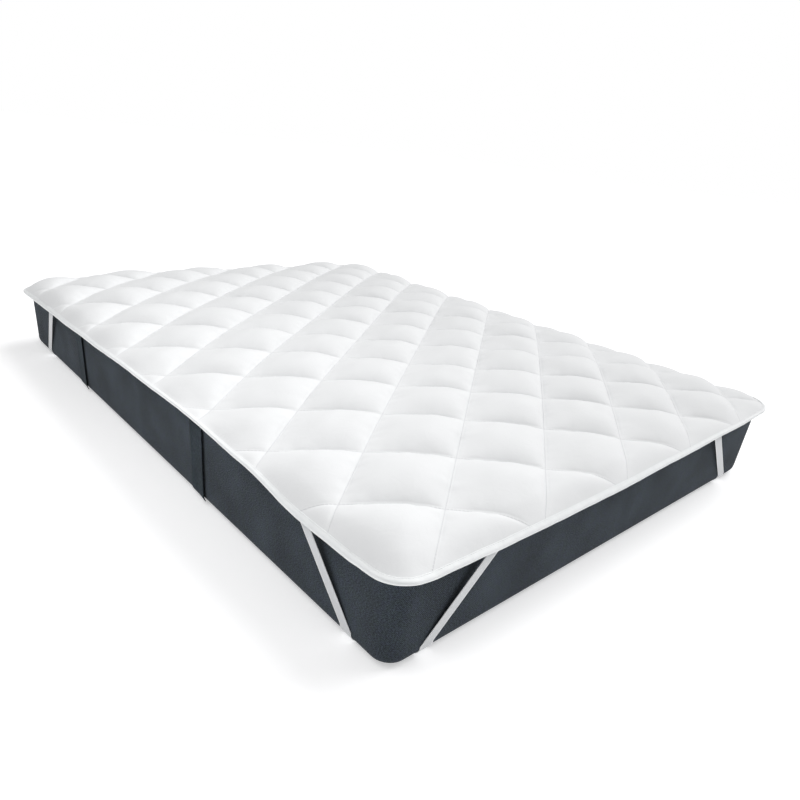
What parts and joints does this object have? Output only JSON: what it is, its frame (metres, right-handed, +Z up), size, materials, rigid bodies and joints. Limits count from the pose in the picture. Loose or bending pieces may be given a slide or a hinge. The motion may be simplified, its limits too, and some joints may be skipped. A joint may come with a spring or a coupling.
{
  "type": "quilted mattress protector on a mattress",
  "caption": "Diamond-quilted mattress protector with a bound edge and an elastic strap across each corner, lying on a plain double mattress.",
  "frame": {"origin": "middle of the flat base of the mattress", "axes": "+Z up, +X along the short side of the bed, +Y along the long side from the near corner"},
  "size_m": [1.4452, 1.9452, 0.2544],
  "materials": {
    "mattress_knit": "charcoal melange knitted border cloth",
    "quilted_cloth": "brushed white microfibre, quilted",
    "binding_tape": "white folded tape",
    "elastic": "woven white elastic",
    "handle_knit": "charcoal knitted cloth, sewn flat"
  },
  "bodies": {
    "root": {"mattress": "mattress_knit", "pad": "quilted_cloth", "binding": "binding_tape", "strap_near": "elastic", "strap_right": "elastic", "strap_left": "elastic", "strap_far": "elastic", "handle_head": "handle_knit", "handle_foot": "handle_knit"}
  },
  "joints": []
}
